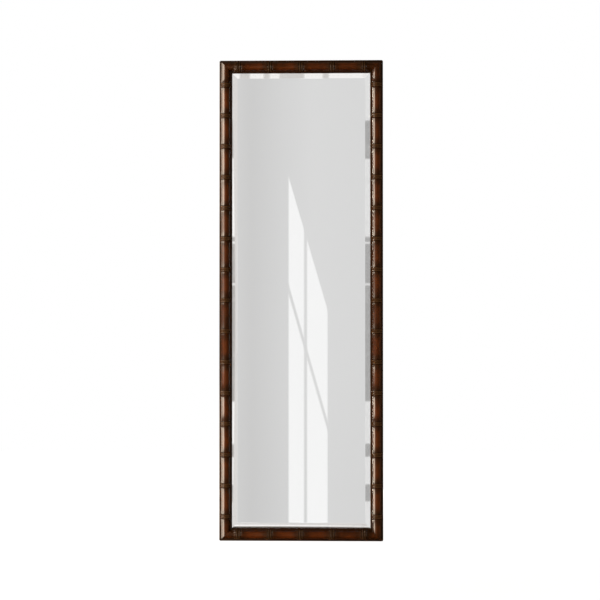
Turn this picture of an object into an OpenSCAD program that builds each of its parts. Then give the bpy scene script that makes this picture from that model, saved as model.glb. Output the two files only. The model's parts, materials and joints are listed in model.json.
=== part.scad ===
// Pier mirror in a faux-bamboo frame.
// Four flat mouldings, mitred at the corners, carry four half-round canes turned as bamboo.
// A bevelled mirror lies in their rabbet with a board behind it, and the frame hangs by two
// hinged D rings. X is the width, Y the depth (the front faces -Y) and Z is up. The origin is
// on the wall, half way between the two points that the rings hang from.

/* [Frame] */
// Outer width of the frame
frame_w = 610; // [480:1:760]
// Outer height of the frame
frame_h = 1790; // [1200:1:2100]
// Width of the moulding, seen from the front
mould_w = 48; // [45:0.5:60]
// Thickness of the flat moulding under the canes
base_t = 16; // [13:0.5:24]
// Rounding of the moulding's two front edges
arris_r = 2; // [0.5:0.1:3]
// Rounding of the frame's four outer corners
corner_r = 6; // [2:0.5:12]

/* [Canes] */
// Distance from the frame's outer edge to the middle of a cane
cane_inset = 24; // [22:0.5:25]
// Radius of a cane at its waist, half way between two nodes
waist_r = 16.6; // [12:0.1:17.4]
// Radius of a cane beside a node
flare_r = 18.4; // [18:0.1:18.8]
// Radius over the two rings of a node
ring_r = 19.4; // [19:0.1:20.5]
// Radius at the bottom of the grooves beside and between the rings
groove_r = 17.2; // [16:0.1:17.6]
// Distance between the middles of a node's two rings
ring_pitch = 10; // [8:0.1:12]
// Radius of a ring's rounded section
bead_r = 3.2; // [2.5:0.1:3.8]
// Width of the groove on the outer side of each ring
quirk_w = 1.2; // [0.6:0.1:2]
// Distance from node to node, rounded so that whole lengths fill a side
node_pitch = 115; // [90:1:140]
// Distance from the frame's end to the middle of a stile's first node
stile_first = 92.5; // [85:0.5:110]
// Distance from the frame's end to the middle of a rail's first node
rail_first = 72; // [65:0.5:90]

/* [Mirror] */
// Width of the rabbet behind the frame's lip
rabbet_w = 8; // [6:0.5:12]
// Thickness of the lip in front of the mirror
lip_t = 5; // [4:0.1:7]
// Gap between the mirror's edge and the rabbet
edge_gap = 1.5; // [1:0.1:2.5]
// Thickness of the mirror glass
glass_t = 5; // [4:0.1:6]
// Thickness that the bevel leaves at the glass's edge
bevel_edge_t = 2.5; // [1.5:0.1:3]
// Width of the bevel
bevel_w = 25.4; // [12:0.1:38]
// Thickness of the silver and its backing paint
silver_t = 0.1; // [0.1:0.05:0.3]
// Thickness of the board behind the mirror
board_t = 3; // [2:0.1:4]
// Clearance between the bevel and the lip that it seats on
seat_gap = 0.1; // [0.05:0.01:0.3]

/* [Blocks and points] */
// Length of the rubber blocks that the mirror stands on, and of the spacers at its sides
block_l = 50; // [20:1:90]
// Distance from the frame's outer edge to the middle of a block or spacer
block_inset = 150; // [110:1:180]
// Width of a glazier's point
point_w = 7; // [5:0.1:10]
// Length of a glazier's point
point_l = 16; // [12:0.1:20]
// Depth of a glazier's point in the wood
point_grip = 7; // [4:0.1:9]
// Thickness of a glazier's point
point_t = 0.5; // [0.3:0.05:0.8]
// Distance from the frame's end to the first point
point_first = 105; // [90:1:150]
// Distance from point to point, rounded so that whole lengths fill a side
point_pitch = 200; // [120:1:300]

/* [Corner nails] */
// Length of each arm of a V nail
v_arm = 9; // [6:0.1:10]
// Height of a V nail
v_h = 10; // [6:0.1:12]
// Thickness of a V nail
v_t = 0.8; // [0.5:0.05:1.2]
// How far a V nail stands out of the back
v_proud = 0.2; // [0.1:0.05:0.5]
// Distance from the frame's outer edges to the first V nail
v_first = 8; // [6:0.5:10]
// Distance between the two V nails of a corner
v_step = 15; // [12:0.5:16]

/* [Hangers] */
// Distance from the frame's outer edge to the middle of a hanger
hanger_inset = 19; // [17:0.5:22]
// Distance from the frame's top to the hinge of a hanger's ring
hanger_drop = 300; // [150:1:500]
// Width of a hanger's strap
strap_w = 16; // [12:0.1:20]
// Thickness of the strap
strap_t = 1.2; // [1:0.05:1.6]
// Distance from the lower screw to the strap's end
strap_end = 7; // [5:0.1:10]
// Distance from the hinge to the upper screw
screw_first = 10; // [8:0.1:11]
// Gap between the lower screw's head and the ring that hangs over the strap
screw_gap = 3; // [1:0.1:6]
// Radius of the ring's wire
wire_r = 1.5; // [1.2:0.05:1.6]
// Clearance of the wire in the strap's eye
eye_gap = 0.1; // [0.05:0.01:0.1]
// Gap between the ring's wire and the strap that it lies over
ring_lift = 0.4; // [0.3:0.05:0.6]
// Gap between each side of the strap and the ring's bend
loop_gap = 2; // [1:0.1:4]
// Length of the ring's straight sides
loop_side = 9; // [8:0.1:12]
// Radius of the ring's two bends beside the strap, to the middle of its wire
loop_bend = 3; // [2.5:0.1:3.5]

/* [Screws] */
// Radius of a screw's shank
shank_r = 2; // [1.6:0.05:2.2]
// Length of a screw below its head
shank_l = 13; // [10:0.1:15]
// Radius of a screw's head
head_r = 3.5; // [3:0.1:3.9]
// Height of a screw's head
head_h = 2.2; // [1.6:0.1:2.6]
// Radius of the pilot hole that a screw cuts its thread in
pilot_r = 1.4; // [1.2:0.05:1.5]
// Clearance of the screw in the strap's hole
hole_gap = 0.3; // [0.1:0.05:0.4]

/* [Bumpers] */
// Thickness of the bumpers, and so the gap between frame and wall
bumper_t = 7; // [6.8:0.1:10]
// Radius of a bumper
bumper_r = 8; // [5:0.1:12]
// Rounding of a bumper's edge
bumper_round = 2; // [0.5:0.1:3]
// Distance from the frame's sides to the middle of a bumper
bumper_inset = 19; // [14:0.5:24]
// Distance from the frame's top and bottom to the middle of a bumper
bumper_rise = 60; // [50:1:120]

/* [Hidden] */
// How far a cutting shape reaches past what it cuts
past = 1;
// Facets of small and of large circles in a preview
fine_fn = 48;
cane_fn = 96;
arc_fn = 720;
// Each side's turn about Y from the bottom rail's place
BOTTOM = 0;
LEFT = 90;
TOP = 180;
RIGHT = -90;
// The canes
node_w = ring_pitch + 2 * bead_r + 2 * quirk_w;
// The mirror and what lies behind it, as distances in front of the frame's back; the glass's
// back is rounded down to a hundredth of a millimetre, so that the silver meets it exactly
lip_back = base_t - lip_t;
edge_lap = rabbet_w - edge_gap;
bevel_slope = (glass_t - bevel_edge_t) / bevel_w;
glass_room = lip_back - seat_gap - bevel_edge_t - edge_lap * bevel_slope;
glass_back = floor(100 * glass_room) / 100;
board_front = glass_back - silver_t;
board_back = board_front - board_t;
glass_w = frame_w - 2 * (mould_w - edge_lap);
glass_h = frame_h - 2 * (mould_w - edge_lap);
// The hangers, as distances behind the frame's back
hinge_out = strap_t + ring_lift + wire_r;
eye_r = wire_r + eye_gap;
bar_half = strap_w / 2 + loop_gap;
loop_r = bar_half + loop_bend;
ring_reach = loop_side + loop_r + wire_r;
screw_second = ring_reach + screw_gap + head_r;
hanger_z = frame_h / 2 - hanger_drop;
hanger_x = frame_w / 2 - hanger_inset;
// A ring that is turned up holds its hook under its round end
hook_z = hanger_z + ring_reach - 2 * wire_r;

function fit_count(length, pitch) = max(1, round(length / pitch));

// Puts a shape drawn about the frame's middle, with the frame's back at y = 0, in its place.
module in_place() {
    translate([0, -bumper_t, -hook_z]) children();
}

// Turns a shape drawn for the bottom of a frame to another side of it.
module on_side(side) {
    span = side == LEFT || side == RIGHT ? frame_w : frame_h;
    in_place() rotate([0, side, 0]) translate([0, 0, -span / 2]) children();
}

// The length of a moulding on one side.
function side_length(side) = side == LEFT || side == RIGHT ? frame_h : frame_w;

// The plan of a mitred stick: x along it, y from the frame's outer edge inwards.
module mitre_plan(length) {
    half = length / 2;
    difference() {
        polygon([[-half, 0], [half, 0], [half - mould_w, mould_w], [mould_w - half, mould_w]]);
        for (end = [-1, 1]) {
            translate([end * half, 0]) corner_waste(end);
        }
    }
}

// What the rounding takes off one outer corner of a stick.
module corner_waste(end) {
    difference() {
        translate([end > 0 ? -corner_r : -past, -past]) square([corner_r + past, corner_r + past]);
        translate([-end * corner_r, corner_r]) circle(corner_r, $fn = fine_fn);
    }
}

// Cuts its children to a mitred stick that reaches a stated distance in front of the back.
module mitred(length, reach) {
    intersection() {
        children();
        translate([0, past, 0]) rotate([90, 0, 0]) linear_extrude(reach + 2 * past) mitre_plan(length);
    }
}

// The flat moulding's section: x from the outer edge inwards, y from the back to the front.
module base_section() {
    difference() {
        union() {
            square([mould_w, base_t - arris_r]);
            translate([arris_r, 0]) square([mould_w - 2 * arris_r, base_t]);
            for (x = [arris_r, mould_w - arris_r]) {
                translate([x, base_t - arris_r]) circle(arris_r, $fn = fine_fn);
            }
        }
        translate([mould_w - rabbet_w, -past]) square([rabbet_w + past, lip_back + past]);
    }
}

module base_stick(length) {
    mitred(length, base_t)
        translate([-length / 2, 0, 0]) rotate([180, -90, 0]) linear_extrude(length) base_section();
}

// Half of a turned cane's outline: x from its middle outwards, y along it.
module cane_outline(length, first) {
    gaps = fit_count(length - 2 * first, node_pitch);
    step = (length - 2 * first) / gaps;
    difference() {
        square([flare_r, length]);
        for (i = [0 : gaps - 1]) {
            waist_cut(first + (i + 0.5) * step, (step - node_w) / 2);
        }
        for (end = [0, length]) {
            toward = end == 0 ? 1 : -1;
            translate([waist_r, end == 0 ? -past : length - mould_w]) square([flare_r, mould_w + past]);
            waist_cut(end + toward * mould_w, first - mould_w - node_w / 2);
        }
        for (i = [0 : gaps]) {
            translate([groove_r, first + i * step - node_w / 2]) square([flare_r, node_w]);
        }
    }
    for (i = [0 : gaps], ring = [-1, 1]) {
        y = first + i * step + ring * ring_pitch / 2;
        translate([ring_r - bead_r, y]) circle(bead_r, $fn = fine_fn);
    }
}

// The hollow of an internode: an arc through the waist that meets the flare at half_run each way.
module waist_cut(middle, half_run) {
    sag = flare_r - waist_r;
    arc_r = (half_run * half_run + sag * sag) / (2 * sag);
    translate([waist_r + arc_r, middle]) circle(arc_r, $fn = arc_fn);
}

module cane_stick(length, first) {
    mitred(length, base_t + ring_r)
        translate([-length / 2, -base_t, cane_inset]) rotate([0, 90, 0])
            rotate_extrude(angle = 180, start = 180, $fn = cane_fn) cane_outline(length, first);
}

// Puts a shape at a hanger: its hinge at z = 0, the frame's back at y = 0.
module at_hanger(side) {
    in_place() translate([side * hanger_x, 0, hanger_z]) children();
}

// Puts a shape at both screws of a hanger, its z axis into the wood.
module at_screws() {
    for (drop = [screw_first, screw_second]) {
        translate([0, 0, -drop]) rotate([90, 0, 0]) children();
    }
}

module stile(side) {
    color([0.27, 0.13, 0.07]) difference() {
        on_side(side < 0 ? LEFT : RIGHT) base_stick(frame_h);
        at_hanger(side) at_screws() translate([0, 0, -past])
            cylinder(r = pilot_r, h = shank_l - strap_t + past, $fn = fine_fn);
    }
}

module rail(side) {
    color([0.27, 0.13, 0.07]) on_side(side) base_stick(frame_w);
}

module stile_cane(side) {
    color([0.42, 0.19, 0.09]) on_side(side) cane_stick(frame_h, stile_first);
}

module rail_cane(side) {
    color([0.42, 0.19, 0.09]) on_side(side) cane_stick(frame_w, rail_first);
}

// What the bevel takes off the glass: x from its edge inwards, y from its back to its front.
module bevel_waste() {
    polygon([
        [-past, bevel_edge_t - past * bevel_slope],
        [bevel_w, glass_t],
        [bevel_w, glass_t + past],
        [-past, glass_t + past]
    ]);
}

module bevel_cut(side) {
    span = side == LEFT || side == RIGHT ? glass_w : glass_h;
    length = side_length(side);
    rotate([0, side, 0]) translate([-length / 2, -glass_back, -span / 2])
        rotate([180, -90, 0]) linear_extrude(length) bevel_waste();
}

// A plate the size of the mirror, from its back face forwards.
module sheet(back, thickness) {
    translate([-glass_w / 2, -back - thickness, -glass_h / 2]) cube([glass_w, thickness, glass_h]);
}

module mirror_glass() {
    color([0.8, 0.85, 0.86]) in_place() difference() {
        sheet(glass_back, glass_t);
        for (side = [BOTTOM, LEFT, TOP, RIGHT]) bevel_cut(side);
    }
}

module silvering() {
    color([0.72, 0.72, 0.73]) in_place() sheet(board_front, silver_t);
}

module backing_board() {
    color([0.45, 0.31, 0.2]) in_place() sheet(board_back, board_t);
}

// Two rubber pads in the rabbet of one side, under the mirror and the board.
module pads(side) {
    reach = side_length(side) / 2 - block_inset;
    on_side(side) for (x = [-reach, reach]) {
        translate([x - block_l / 2, -lip_back, mould_w - rabbet_w])
            cube([block_l, lip_back - board_back, edge_gap]);
    }
}

module setting_blocks() {
    color([0.1, 0.1, 0.1]) pads(BOTTOM);
}

module edge_spacers() {
    color([0.1, 0.1, 0.1]) {
        pads(LEFT);
        pads(RIGHT);
    }
}

// A glazier's point in plan: x along the frame's side, y inwards, its tip in the wood.
module point_plan() {
    shoulder = point_w / 2;
    polygon([
        [0, -point_grip],
        [shoulder, shoulder - point_grip],
        [shoulder, point_l - point_grip],
        [-shoulder, point_l - point_grip],
        [-shoulder, shoulder - point_grip]
    ]);
}

// The row of points that holds the board on one side.
module points(side) {
    length = side_length(side);
    gaps = fit_count(length - 2 * point_first, point_pitch);
    step = (length - 2 * point_first) / gaps;
    color([0.66, 0.66, 0.68]) on_side(side) for (i = [0 : gaps]) {
        translate([i * step + point_first - length / 2, point_t - board_back, mould_w - rabbet_w])
            rotate([90, 0, 0]) linear_extrude(point_t) point_plan();
    }
}

// Two V nails across one corner's mitre, driven in from the back.
module v_nails(x_side, z_side) {
    color([0.6, 0.6, 0.62]) in_place()
        translate([x_side * frame_w / 2, 0, z_side * frame_h / 2])
            for (inset = [v_first, v_first + v_step]) {
                translate([-x_side * inset, v_proud - v_h, -z_side * inset]) {
                    mirror([x_side > 0 ? 1 : 0, 0, 0]) mirror([0, 0, z_side > 0 ? 1 : 0]) {
                        cube([v_arm, v_h, v_t]);
                        cube([v_t, v_h, v_arm]);
                    }
                }
            }
}

// A hanger's strap, screwed on below the hinge and curled round the ring's bar above.
module hanger_strap(side) {
    color([0.75, 0.66, 0.42]) at_hanger(side) difference() {
        union() {
            rotate([-90, 0, 0]) linear_extrude(strap_t) strap_plan();
            translate([-strap_w / 2, hinge_out, 0]) rotate([0, 90, 0])
                cylinder(r = eye_r + strap_t, h = strap_w, $fn = fine_fn);
        }
        translate([-strap_w / 2 - past, hinge_out, 0]) rotate([0, 90, 0])
            cylinder(r = eye_r, h = strap_w + 2 * past, $fn = fine_fn);
        at_screws() translate([0, 0, -strap_t - past])
            cylinder(r = shank_r + hole_gap, h = strap_t + 2 * past, $fn = fine_fn);
    }
}

// The strap's plan: x across it, y down from the hinge.
module strap_plan() {
    straight = screw_second + strap_end - strap_w / 2;
    translate([-strap_w / 2, 0]) square([strap_w, straight]);
    translate([0, straight]) circle(strap_w / 2, $fn = fine_fn);
}

// A hanger's ring as it hangs: a straight bar through the eye, two sides and a round end.
module hanger_ring(side) {
    color([0.75, 0.66, 0.42]) at_hanger(side) translate([0, hinge_out, 0]) {
        wire(-bar_half, bar_half);
        for (end = [0, 180]) rotate([0, 0, end]) {
            translate([bar_half, 0, -loop_bend]) rotate([90, 0, 0]) wire_bend(loop_bend, 0, 90);
            translate([loop_r, 0, 0]) rotate([0, 90, 0]) wire(loop_bend, loop_side);
        }
        translate([0, 0, -loop_side]) rotate([90, 0, 0]) wire_bend(loop_r, 180, 180);
    }
}

// A straight length of wire along X.
module wire(low, high) {
    translate([low, 0, 0]) rotate([0, 90, 0]) cylinder(r = wire_r, h = high - low, $fn = fine_fn);
}

// A bent length of wire round Z.
module wire_bend(radius, from, turn) {
    rotate_extrude(angle = turn, start = from, $fn = fine_fn)
        translate([radius, 0]) circle(wire_r, $fn = fine_fn);
}

// A pan-head screw, its head's underside at z = 0 and its tip at z = shank_l.
module screw() {
    edge = head_h / 2;
    difference() {
        rotate_extrude($fn = fine_fn) {
            translate([0, -head_h]) square([head_r - edge, head_h]);
            translate([0, -edge]) square([head_r, edge]);
            intersection() {
                translate([head_r - edge, -edge]) circle(edge, $fn = fine_fn);
                translate([0, -head_h]) square([head_r, head_h]);
            }
            polygon([[0, 0], [shank_r, 0], [shank_r, shank_l - 2 * shank_r], [0, shank_l]]);
        }
        for (turn = [0, 90]) rotate([0, 0, turn]) {
            translate([-head_r * 0.6, -head_r * 0.13, -head_h - past])
                cube([head_r * 1.2, head_r * 0.26, head_h * 0.5 + past]);
        }
    }
}

module hanger_screws(side) {
    color([0.72, 0.64, 0.42]) at_hanger(side) translate([0, strap_t, 0]) at_screws() screw();
}

// Two rubber bumpers on the back, at the top or the bottom of the stiles.
module bumpers(z_side) {
    color([0.12, 0.12, 0.12]) in_place() for (x_side = [-1, 1]) {
        translate([
            x_side * (frame_w / 2 - bumper_inset), 0, z_side * (frame_h / 2 - bumper_rise)
        ]) rotate([-90, 0, 0]) rotate_extrude($fn = fine_fn) {
            square([bumper_r, bumper_t - bumper_round]);
            square([bumper_r - bumper_round, bumper_t]);
            translate([bumper_r - bumper_round, bumper_t - bumper_round])
                circle(bumper_round, $fn = fine_fn);
        }
    }
}

stile(-1);  // left_stile
stile(1);  // right_stile
rail(TOP);  // top_rail
rail(BOTTOM);  // bottom_rail
stile_cane(LEFT);  // left_cane
stile_cane(RIGHT);  // right_cane
rail_cane(TOP);  // top_cane
rail_cane(BOTTOM);  // bottom_cane
mirror_glass();
silvering();
backing_board();
setting_blocks();
edge_spacers();
points(LEFT);  // left_points
points(RIGHT);  // right_points
points(TOP);  // top_points
points(BOTTOM);  // bottom_points
v_nails(-1, 1);  // top_left_v_nails
v_nails(1, 1);  // top_right_v_nails
v_nails(-1, -1);  // bottom_left_v_nails
v_nails(1, -1);  // bottom_right_v_nails
hanger_strap(-1);  // left_hanger_strap
hanger_strap(1);  // right_hanger_strap
hanger_screws(-1);  // left_hanger_screws
hanger_screws(1);  // right_hanger_screws
hanger_ring(-1);  // left_hanger_ring
hanger_ring(1);  // right_hanger_ring
bumpers(1);  // upper_bumpers
bumpers(-1);  // lower_bumpers
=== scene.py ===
# %% [markdown]
# # A pier mirror in a faux-bamboo frame
# A pier mirror is a tall, narrow mirror that hangs on the stretch of wall between two windows.
# This one stands in a dark mahogany frame whose four sides are turned to look like bamboo.
# The packed construction comes first, as the one frame that every piece is placed in.

# %% Load the construction
import math

import bmesh
import bpy
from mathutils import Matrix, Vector
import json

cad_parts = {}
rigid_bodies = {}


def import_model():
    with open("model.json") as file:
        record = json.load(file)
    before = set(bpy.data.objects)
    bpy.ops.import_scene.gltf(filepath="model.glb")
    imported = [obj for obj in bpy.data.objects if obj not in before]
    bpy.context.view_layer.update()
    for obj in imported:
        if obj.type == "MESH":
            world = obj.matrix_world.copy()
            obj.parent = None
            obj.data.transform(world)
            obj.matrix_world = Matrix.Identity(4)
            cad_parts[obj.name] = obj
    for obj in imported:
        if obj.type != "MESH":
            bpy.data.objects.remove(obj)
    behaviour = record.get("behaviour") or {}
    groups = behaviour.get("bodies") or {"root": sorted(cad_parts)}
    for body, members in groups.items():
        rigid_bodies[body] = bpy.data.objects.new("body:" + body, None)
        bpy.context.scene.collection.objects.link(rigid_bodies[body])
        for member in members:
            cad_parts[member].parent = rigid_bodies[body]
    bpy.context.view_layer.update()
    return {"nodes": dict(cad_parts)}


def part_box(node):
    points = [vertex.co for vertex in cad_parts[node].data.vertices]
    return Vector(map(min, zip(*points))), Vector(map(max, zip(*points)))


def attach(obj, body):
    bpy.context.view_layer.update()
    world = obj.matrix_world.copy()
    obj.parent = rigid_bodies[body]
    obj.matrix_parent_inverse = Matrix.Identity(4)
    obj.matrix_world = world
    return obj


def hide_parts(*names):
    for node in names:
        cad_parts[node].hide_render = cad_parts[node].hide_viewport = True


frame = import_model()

print("pieces in the construction:", len(frame["nodes"]))

# %% [markdown]
# ## Sizes
# A maker keeps one list of sizes and works every piece from it. The numbers below are the
# ones that the construction was drawn with, in millimetres, and MM turns them into metres.
# The middle of the frame is read from the construction itself, so nothing can drift apart.

# %% The maker's sizes
MM = 0.001
FRAME_W, FRAME_H = 610 * MM, 1790 * MM
MOULD_W, BASE_T = 48 * MM, 16 * MM
ARRIS_R, CORNER_R = 2 * MM, 6 * MM
RABBET_W, LIP_T = 8 * MM, 5 * MM
CANE_INSET = 24 * MM
BACK_Y = -7 * MM
FRONT_Y = BACK_Y - BASE_T
stile_low, stile_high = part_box("left_stile")
MIDDLE_Z = (stile_low.z + stile_high.z) / 2
print("middle of the frame, z =", round(MIDDLE_Z, 4))

# %% [markdown]
# ## The camera
# The photograph looks at the mirror from far off, because its stiles stay all but parallel, so
# a long lens does the same here. The stile on the right is a hair taller in the picture than
# the left one, and the rail at the bottom a hair longer than the top one. So the camera stands
# a hand's breadth to the right and a little low, and turns back to the frame's middle.

# %% Camera
PICTURE = 600
LENS, SENSOR = 85, 36
FOCAL_PX = LENS / SENSOR * PICTURE
AWAY = 5272 * MM
EYE = Vector((125 * MM, FRONT_Y - AWAY, MIDDLE_Z - 58 * MM))
AIM = Vector((-4.1 * MM, FRONT_Y, MIDDLE_Z + 0.9 * MM))

bpy.ops.object.select_all(action="DESELECT")
bpy.ops.object.camera_add(location=EYE, rotation=(EYE - AIM).to_track_quat("Z", "Y").to_euler())
camera = bpy.context.object
camera.name = "camera"
camera.data.lens, camera.data.sensor_width = LENS, SENSOR
bpy.context.scene.camera = camera
bpy.context.scene.view_settings.view_transform = "Standard"
print("the camera stands", round(FRONT_Y - EYE.y, 3), "m in front of the frame")

# %% [markdown]
# ## A few habits of the bench
# Operators act on whatever is selected, so every step begins by putting everything else down.
# Faces and edges are picked by where they lie or where they point. A saw cut is a bisect that
# throws one side away and closes the wood again.

# %% Picking
TINY = 0.01 * MM


def alone(piece):
    """Selects one object and nothing else."""
    bpy.ops.object.select_all(action="DESELECT")
    piece.select_set(True)
    bpy.context.view_layer.objects.active = piece


def start(piece):
    """Opens one object for shaping."""
    alone(piece)
    bpy.ops.object.mode_set(mode="EDIT")


def stop():
    """Ends the shaping."""
    bpy.ops.object.mode_set(mode="OBJECT")


def pick(kind, test):
    """Selects the vertices, edges or faces that pass a test, and returns how many there are."""
    bpy.ops.mesh.select_all(action="DESELECT")
    bpy.ops.mesh.select_mode(type=kind)
    shape = bmesh.from_edit_mesh(bpy.context.object.data)
    parts = {"VERT": shape.verts, "EDGE": shape.edges, "FACE": shape.faces}[kind]
    found = [part for part in parts if test(part)]
    for part in found:
        part.select_set(True)
    shape.select_flush_mode()
    bmesh.update_edit_mesh(bpy.context.object.data)
    return len(found)


def ends(edge, test):
    """True where both ends of an edge pass a test."""
    return all(test(corner.co) for corner in edge.verts)


print("a corner counts as on a plane within", round(TINY / MM, 3), "mm of it")

# %% Sawing and settling
WELD, SOFT_EDGE = 1e-6, 30


def saw(point, normal):
    """Cuts off what lies on the side that normal points to, and closes the cut."""
    bpy.ops.mesh.select_all(action="SELECT")
    bpy.ops.mesh.bisect(plane_co=point, plane_no=normal, use_fill=True, clear_outer=True, threshold=WELD)


def clean():
    """Merges doubled corners and turns every face outwards."""
    bpy.ops.mesh.select_all(action="SELECT")
    bpy.ops.mesh.remove_doubles(threshold=WELD)
    bpy.ops.mesh.normals_make_consistent(inside=False)


def settle(piece):
    """Puts a piece's place, turn and size into its mesh."""
    alone(piece)
    bpy.ops.object.transform_apply(location=True, rotation=True, scale=True)
    return piece


def smooth(piece, degrees=SOFT_EDGE):
    """Shades a piece smooth, apart from edges sharper than an angle."""
    alone(piece)
    bpy.ops.object.shade_smooth_by_angle(angle=math.radians(degrees))
    return piece


print("edges under", SOFT_EDGE, "degrees are shaded smooth")

# %% [markdown]
# ## Left, top, right and bottom
# A frame has two pairs of equal sides. Each pair is made once, as a left side about the
# frame's middle, and its second piece is a turned copy with a mesh of its own.
# The turn is typed into the object and then applied, as one would do in the side panel.

# %% Placing a side
LEFT, TOP, RIGHT, BOTTOM = 0, math.pi / 2, math.pi, -math.pi / 2


def on_side(piece, side):
    """Turns a piece made as a left side to another side, and moves it to the frame's middle."""
    piece.rotation_euler = (0, side, 0)
    piece.location = (0, BACK_Y, MIDDLE_Z)
    return settle(piece)


def pair(piece, first, second, same_way_up=False):
    """Makes the second piece of a pair, and puts both in place. Each is (name, side).
    A turned copy stands on its head, so one that has to be the same way up is mirrored too."""
    alone(piece)
    bpy.ops.object.duplicate()
    twin = bpy.context.object
    if same_way_up:
        start(twin)
        bpy.ops.mesh.select_all(action="SELECT")
        bpy.ops.transform.resize(value=(1, 1, -1), center_override=(0, 0, 0))
        bpy.ops.mesh.flip_normals()
        stop()
    for made, (name, side) in ((piece, first), (twin, second)):
        made.name = made.data.name = name
        on_side(made, side)
    return piece, twin


print("sides are placed about z =", round(MIDDLE_Z, 4))

# %% [markdown]
# ## The flat mouldings
# Under the canes runs a plain flat moulding. Behind its inner edge a step, the rabbet, holds
# the mirror. It could be an extruded outline, but here it starts as a plank, because that
# shows what the saw and the plane do: a lip is drawn out at the front, the ends are cut at
# 45 degrees, the outer corners are rounded by a few small cuts and the front edges are eased.

# %% The flat mouldings
CORNER_CUTS = 5


def mitre(length, span):
    """Cuts both ends at 45 degrees, through the frame's outer corners."""
    for end in (-1, 1):
        saw((-span / 2, 0, end * length / 2), (1, 0, end))


def flat_moulding(length, span):
    """One plain stick of the frame, as a left side whose frame is span wide."""
    outer, thick = -span / 2, MOULD_W - RABBET_W
    bpy.ops.mesh.primitive_cube_add(
        size=1, location=(outer + thick / 2, -BASE_T / 2, 0), scale=(thick, BASE_T, length)
    )
    stick = settle(bpy.context.object)
    start(stick)
    lip_back = LIP_T - BASE_T
    bpy.ops.mesh.select_all(action="SELECT")
    bpy.ops.mesh.bisect(plane_co=(0, lip_back, 0), plane_no=(0, 1, 0))
    pick("FACE", lambda face: face.normal.x > 0.9 and face.calc_center_median().y < lip_back)
    bpy.ops.mesh.extrude_region_move(TRANSFORM_OT_translate={"value": (RABBET_W, 0, 0)})
    mitre(length, span)
    for end in (-1, 1):
        centre = Vector((outer + CORNER_R, 0, end * (length / 2 - CORNER_R)))
        for cut in range(CORNER_CUTS):
            angle = math.radians(45) * (cut + 0.5) / CORNER_CUTS
            facing = Vector((-math.cos(angle), 0, end * math.sin(angle)))
            saw(centre + CORNER_R * facing, facing)
    clean()
    reach = (length - span) / 2

    def front_edge(edge):
        """True for an edge of the front that is not along a mitre."""
        middle = (edge.verts[0].co + edge.verts[1].co) / 2
        off_mitre = abs(abs(middle.z) + middle.x - reach) > 10 * TINY
        return off_mitre and ends(edge, lambda co: abs(co.y + BASE_T) < TINY)

    eased = pick("EDGE", front_edge)
    bpy.ops.mesh.bevel(offset=ARRIS_R, segments=4, profile=0.5, affect="EDGES")
    clean()
    stop()
    smooth(stick)
    print("a stick of", round(length, 3), "m, with", eased, "front edges eased")
    return stick


stiles = pair(flat_moulding(FRAME_H, FRAME_W), ("stile_left", LEFT), ("stile_right", RIGHT))
rails = pair(flat_moulding(FRAME_W, FRAME_H), ("rail_bottom", BOTTOM), ("rail_top", TOP))

# %% [markdown]
# ## The canes
# Real bamboo swells toward each node, and a thin scar rings it there. A turner copies that on
# a lathe: two beads with a groove on either side, and a shallow hollow from node to node.
# The turned stick is then sawn in half along its length. Here the lathe is a circle that is
# extruded and resized again and again, and one length from node to node is repeated by an
# Array modifier, so that all the nodes are alike and only the two ends are made apart.
# On the uprights the hollow rises gently to the node over it and steeply to the node below.
# In the photo that steep stretch catches the high part of the window, just above each node.

# %% The turner's pattern
CANE_SIDES = 64
WAIST_R, FLARE_R, RING_R, GROOVE_R = 16.6 * MM, 18.4 * MM, 19.33 * MM, 17.2 * MM
RING_AT, BEAD_R, QUIRK_W = 5 * MM, 3.2 * MM, 1.2 * MM
NODE_HALF = RING_AT + BEAD_R + QUIRK_W
SHOULDER = 0.4 * MM
BEAD_CUTS, HOLLOW_CUTS = 8, 6
GENTLE, STEEP = 2, 4


def bead():
    """(distance, radius) stations over one ring, from the groove between the rings outwards."""
    lift = math.asin((GROOVE_R - RING_R + BEAD_R) / BEAD_R)
    turns = [lift + (math.pi - 2 * lift) * i / BEAD_CUTS for i in range(BEAD_CUTS + 1)]
    return [(RING_AT - BEAD_R * math.cos(t), RING_R - BEAD_R + BEAD_R * math.sin(t)) for t in turns]


def half_node():
    """Stations from a node's middle to the shoulder beside it."""
    return bead() + [
        (NODE_HALF, GROOVE_R),
        (NODE_HALF + 0.1 * SHOULDER, FLARE_R - 0.6 * SHOULDER),
        (NODE_HALF + SHOULDER, FLARE_R - 0.1 * SHOULDER),
    ]


def half_length(waist, rise):
    """Stations from a node's middle to a waist. The greater the rise, the steeper its shoulder."""
    near = NODE_HALF + SHOULDER
    spots = [near + (waist - near) * i / HOLLOW_CUTS for i in range(1, HOLLOW_CUTS + 1)]
    run, sag = waist - NODE_HALF, FLARE_R - WAIST_R
    return half_node() + [(s, WAIST_R + sag * ((waist - s) / run) ** rise) for s in spots]


def mirrored(stations, length):
    """The same stations, met from the other end of a length."""
    return [(length - at, radius) for at, radius in reversed(stations)]


def turn(stations, way=1):
    """Draws the selected loop out along Z, and sizes it at each station."""
    at, was = 0, GROOVE_R
    for far, radius in stations:
        bpy.ops.mesh.extrude_edges_move(TRANSFORM_OT_translate={"value": (0, 0, way * (far - at))})
        bpy.ops.transform.resize(value=(radius / was, radius / was, 1), center_override=(0, 0, 0))
        at, was = far, radius


print("stations over half a node:", len(half_node()))

# %% The canes
EASE = 0.3 * MM


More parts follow.
